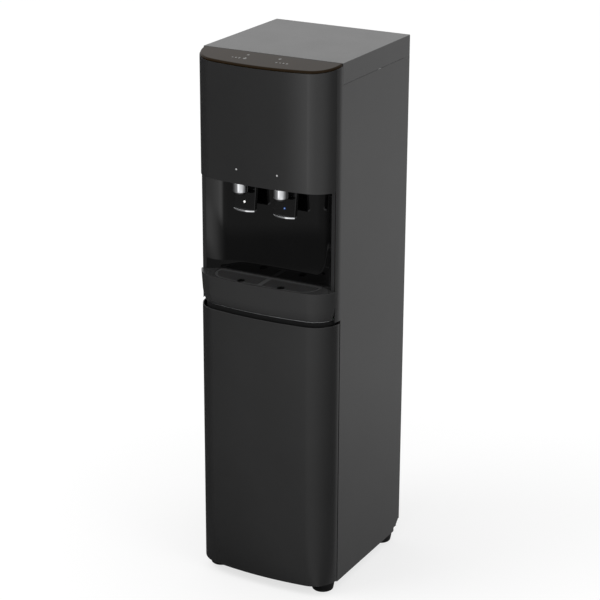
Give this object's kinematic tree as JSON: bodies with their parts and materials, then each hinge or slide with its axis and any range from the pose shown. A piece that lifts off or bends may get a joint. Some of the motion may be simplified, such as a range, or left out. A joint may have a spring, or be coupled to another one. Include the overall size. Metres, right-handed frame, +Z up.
{
  "type": "plumbed-in water cooler",
  "caption": "Floor-standing plumbed-in water cooler with push levers for filtered and chilled water, a drip tray, a lift-off lower panel and a compressor cooling set.",
  "frame": {"origin": "centre of the plan at floor level, under the feet", "axes": "+Z up, -Y towards the user at the front, +X to the user's right"},
  "size_m": [0.31, 0.358, 1.122],
  "materials": {
    "charcoal_steel": "fine textured charcoal powder coat",
    "charcoal_cover": "satin charcoal moulding",
    "charcoal_lid": "fine textured charcoal moulding",
    "gloss_black": "high gloss black moulding",
    "display_glass": "smoked glass, printed dark behind",
    "satin_black": "satin black moulding",
    "chrome": "bright chrome plate",
    "white_lens": "white light pipe",
    "blue_lens": "blue lens",
    "zinc_steel": "bright zinc plated sheet",
    "stainless": "brushed stainless steel",
    "black_steel": "semi gloss black enamel",
    "copper": "drawn copper",
    "brass": "machined brass",
    "rubber": "black rubber",
    "foam": "moulded insulation foam",
    "white_plastic": "white moulding",
    "natural_tube": "milky water tube",
    "circuit_board": "green board"
  },
  "bodies": {
    "cabinet": {"base_pan": "zinc_steel", "side_panel_left": "charcoal_steel", "side_panel_right": "charcoal_steel", "back_panel": "charcoal_steel", "lid": "charcoal_lid", "front_cover": "charcoal_cover", "display_panel": "display_glass", "display_board": "circuit_board", "cover_lights": "white_lens", "alcove_liner": "gloss_black", "mid_frame": "satin_black", "mid_shelf": "zinc_steel", "tap_bracket": "satin_black", "nozzle_left": "chrome", "nozzle_right": "chrome", "nozzle_tip_left": "satin_black", "nozzle_tip_right": "satin_black", "pivot_pins": "stainless", "lever_springs": "stainless", "cold_tank": "stainless", "tank_insulation": "foam", "evaporator_coil": "copper", "compressor": "black_steel", "compressor_mounts": "rubber", "condenser": "black_steel", "condenser_clips": "satin_black", "filter_drier": "copper", "discharge_tube": "copper", "suction_tube": "copper", "liquid_tube": "copper", "filter_head": "white_plastic", "inlet_fitting": "white_plastic", "pressure_reducer": "brass", "valve_ambient": "white_plastic", "valve_cold": "white_plastic", "tube_inlet": "natural_tube", "tube_filtered": "natural_tube", "tube_ambient": "natural_tube", "tube_cold_in": "natural_tube", "tube_cold_out": "natural_tube", "control_box": "satin_black", "power_inlet": "satin_black", "front_glides": "rubber", "rear_screws": "stainless"},
    "lever_left_body": {"lever_left": "gloss_black", "lever_lip_left": "chrome", "lever_mark_left": "white_lens"},
    "lever_right_body": {"lever_right": "gloss_black", "lever_lip_right": "chrome", "lever_mark_right": "blue_lens"},
    "tray_body": {"drip_tray": "charcoal_cover"},
    "grille_body": {"tray_grille": "satin_black"},
    "lower_panel_body": {"lower_panel": "charcoal_cover", "panel_hooks": "satin_black"},
    "cartridge_body": {"filter_cartridge": "white_plastic"},
    "foot_front_left_body": {"foot_front_left": "rubber"},
    "foot_front_right_body": {"foot_front_right": "rubber"},
    "foot_rear_left_body": {"foot_rear_left": "rubber"},
    "foot_rear_right_body": {"foot_rear_right": "rubber"}
  },
  "joints": [
    {"name": "lever_left_push", "type": "hinge", "parent": "cabinet", "child": "lever_left_body", "pos_m": [-0.0455, -0.1305, 0.892], "axis": [1, 0, 0], "range_deg": [0, 10], "stiffness_Nm_per_rad": 0.4, "springref_deg": -28.65},
    {"name": "lever_right_push", "type": "hinge", "parent": "cabinet", "child": "lever_right_body", "pos_m": [0.0455, -0.1305, 0.892], "axis": [1, 0, 0], "range_deg": [0, 10], "stiffness_Nm_per_rad": 0.4, "springref_deg": -28.65},
    {"name": "tray_slide", "type": "slide", "parent": "cabinet", "child": "tray_body", "axis": [0, -1, 0], "range_m": [0, 0.07]},
    {"name": "grille_lift", "type": "slide", "parent": "tray_body", "child": "grille_body", "axis": [0, 0, 1], "range_m": [0, 0.04]},
    {"name": "lower_panel_lift", "type": "slide", "parent": "cabinet", "child": "lower_panel_body", "axis": [0, 0, 1], "range_m": [0, 0.005]},
    {"name": "cartridge_twist", "type": "hinge", "parent": "cabinet", "child": "cartridge_body", "pos_m": [-0.068, -0.0415, 0.4], "axis": [0, 0, 1], "range_deg": [0, 90]},
    {"name": "foot_front_left_turn", "type": "hinge", "parent": "cabinet", "child": "foot_front_left_body", "pos_m": [-0.123, -0.1175, 0.01], "axis": [0, 0, 1], "continuous": true},
    {"name": "foot_front_right_turn", "type": "hinge", "parent": "cabinet", "child": "foot_front_right_body", "pos_m": [0.123, -0.1175, 0.01], "axis": [0, 0, 1], "continuous": true},
    {"name": "foot_rear_left_turn", "type": "hinge", "parent": "cabinet", "child": "foot_rear_left_body", "pos_m": [-0.128, 0.141, 0.01], "axis": [0, 0, 1], "continuous": true},
    {"name": "foot_rear_right_turn", "type": "hinge", "parent": "cabinet", "child": "foot_rear_right_body", "pos_m": [0.128, 0.141, 0.01], "axis": [0, 0, 1], "continuous": true}
  ]
}
